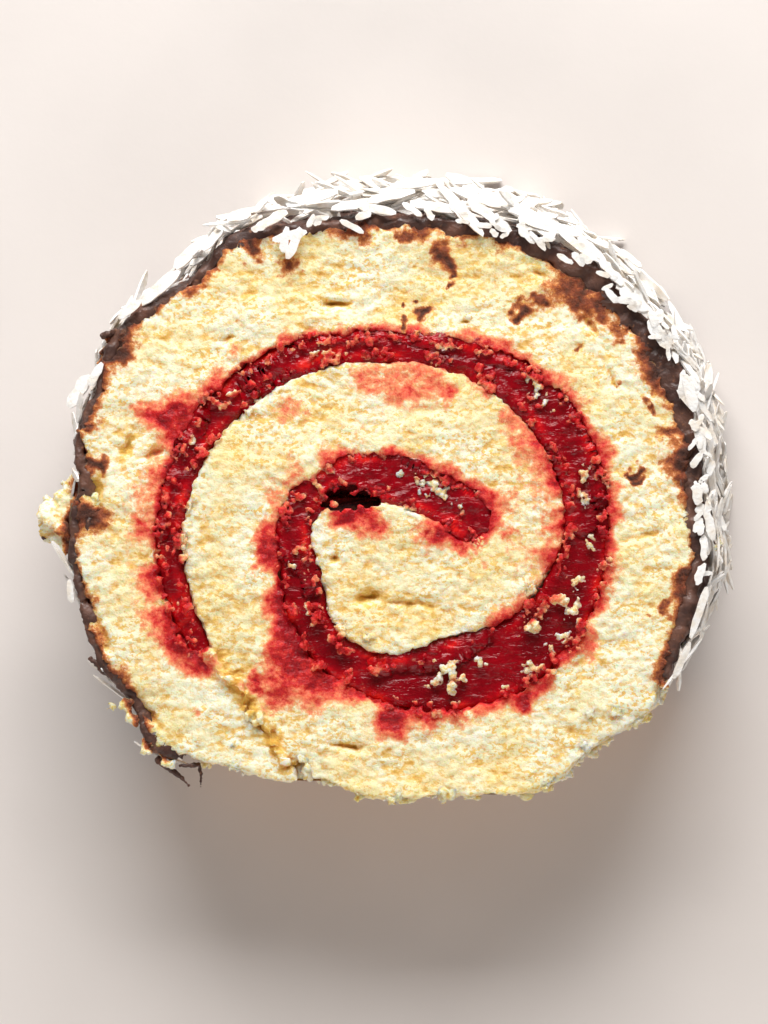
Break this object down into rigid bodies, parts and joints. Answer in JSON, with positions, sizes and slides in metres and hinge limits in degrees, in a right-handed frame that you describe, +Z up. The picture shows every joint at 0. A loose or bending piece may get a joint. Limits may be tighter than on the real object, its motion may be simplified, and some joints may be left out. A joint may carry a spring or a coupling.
{
  "type": "swiss roll cake slice",
  "caption": "Slice of swiss roll lying on its cut face: rolled vanilla sponge with a red berry jam spiral and a dark chocolate coat open underneath.",
  "frame": {"origin": "centre of the slice's bounding box, on the plane it rests on", "axes": "+Z up, away from the plate, out of the spiral face; +Y towards the side that was the roll's top; +X towards the roll's right side as the spiral is looked at from above"},
  "size_m": [0.0856, 0.0784, 0.0257],
  "materials": {
    "sponge": "open, crumbly vanilla sponge, matt",
    "jam": "wet red berry jam, glossy",
    "chocolate": "set dark chocolate, satin, with coconut shreds stuck on"
  },
  "bodies": {
    "root": {"sponge": "sponge", "jam": "jam", "chocolate": "chocolate"}
  },
  "joints": []
}
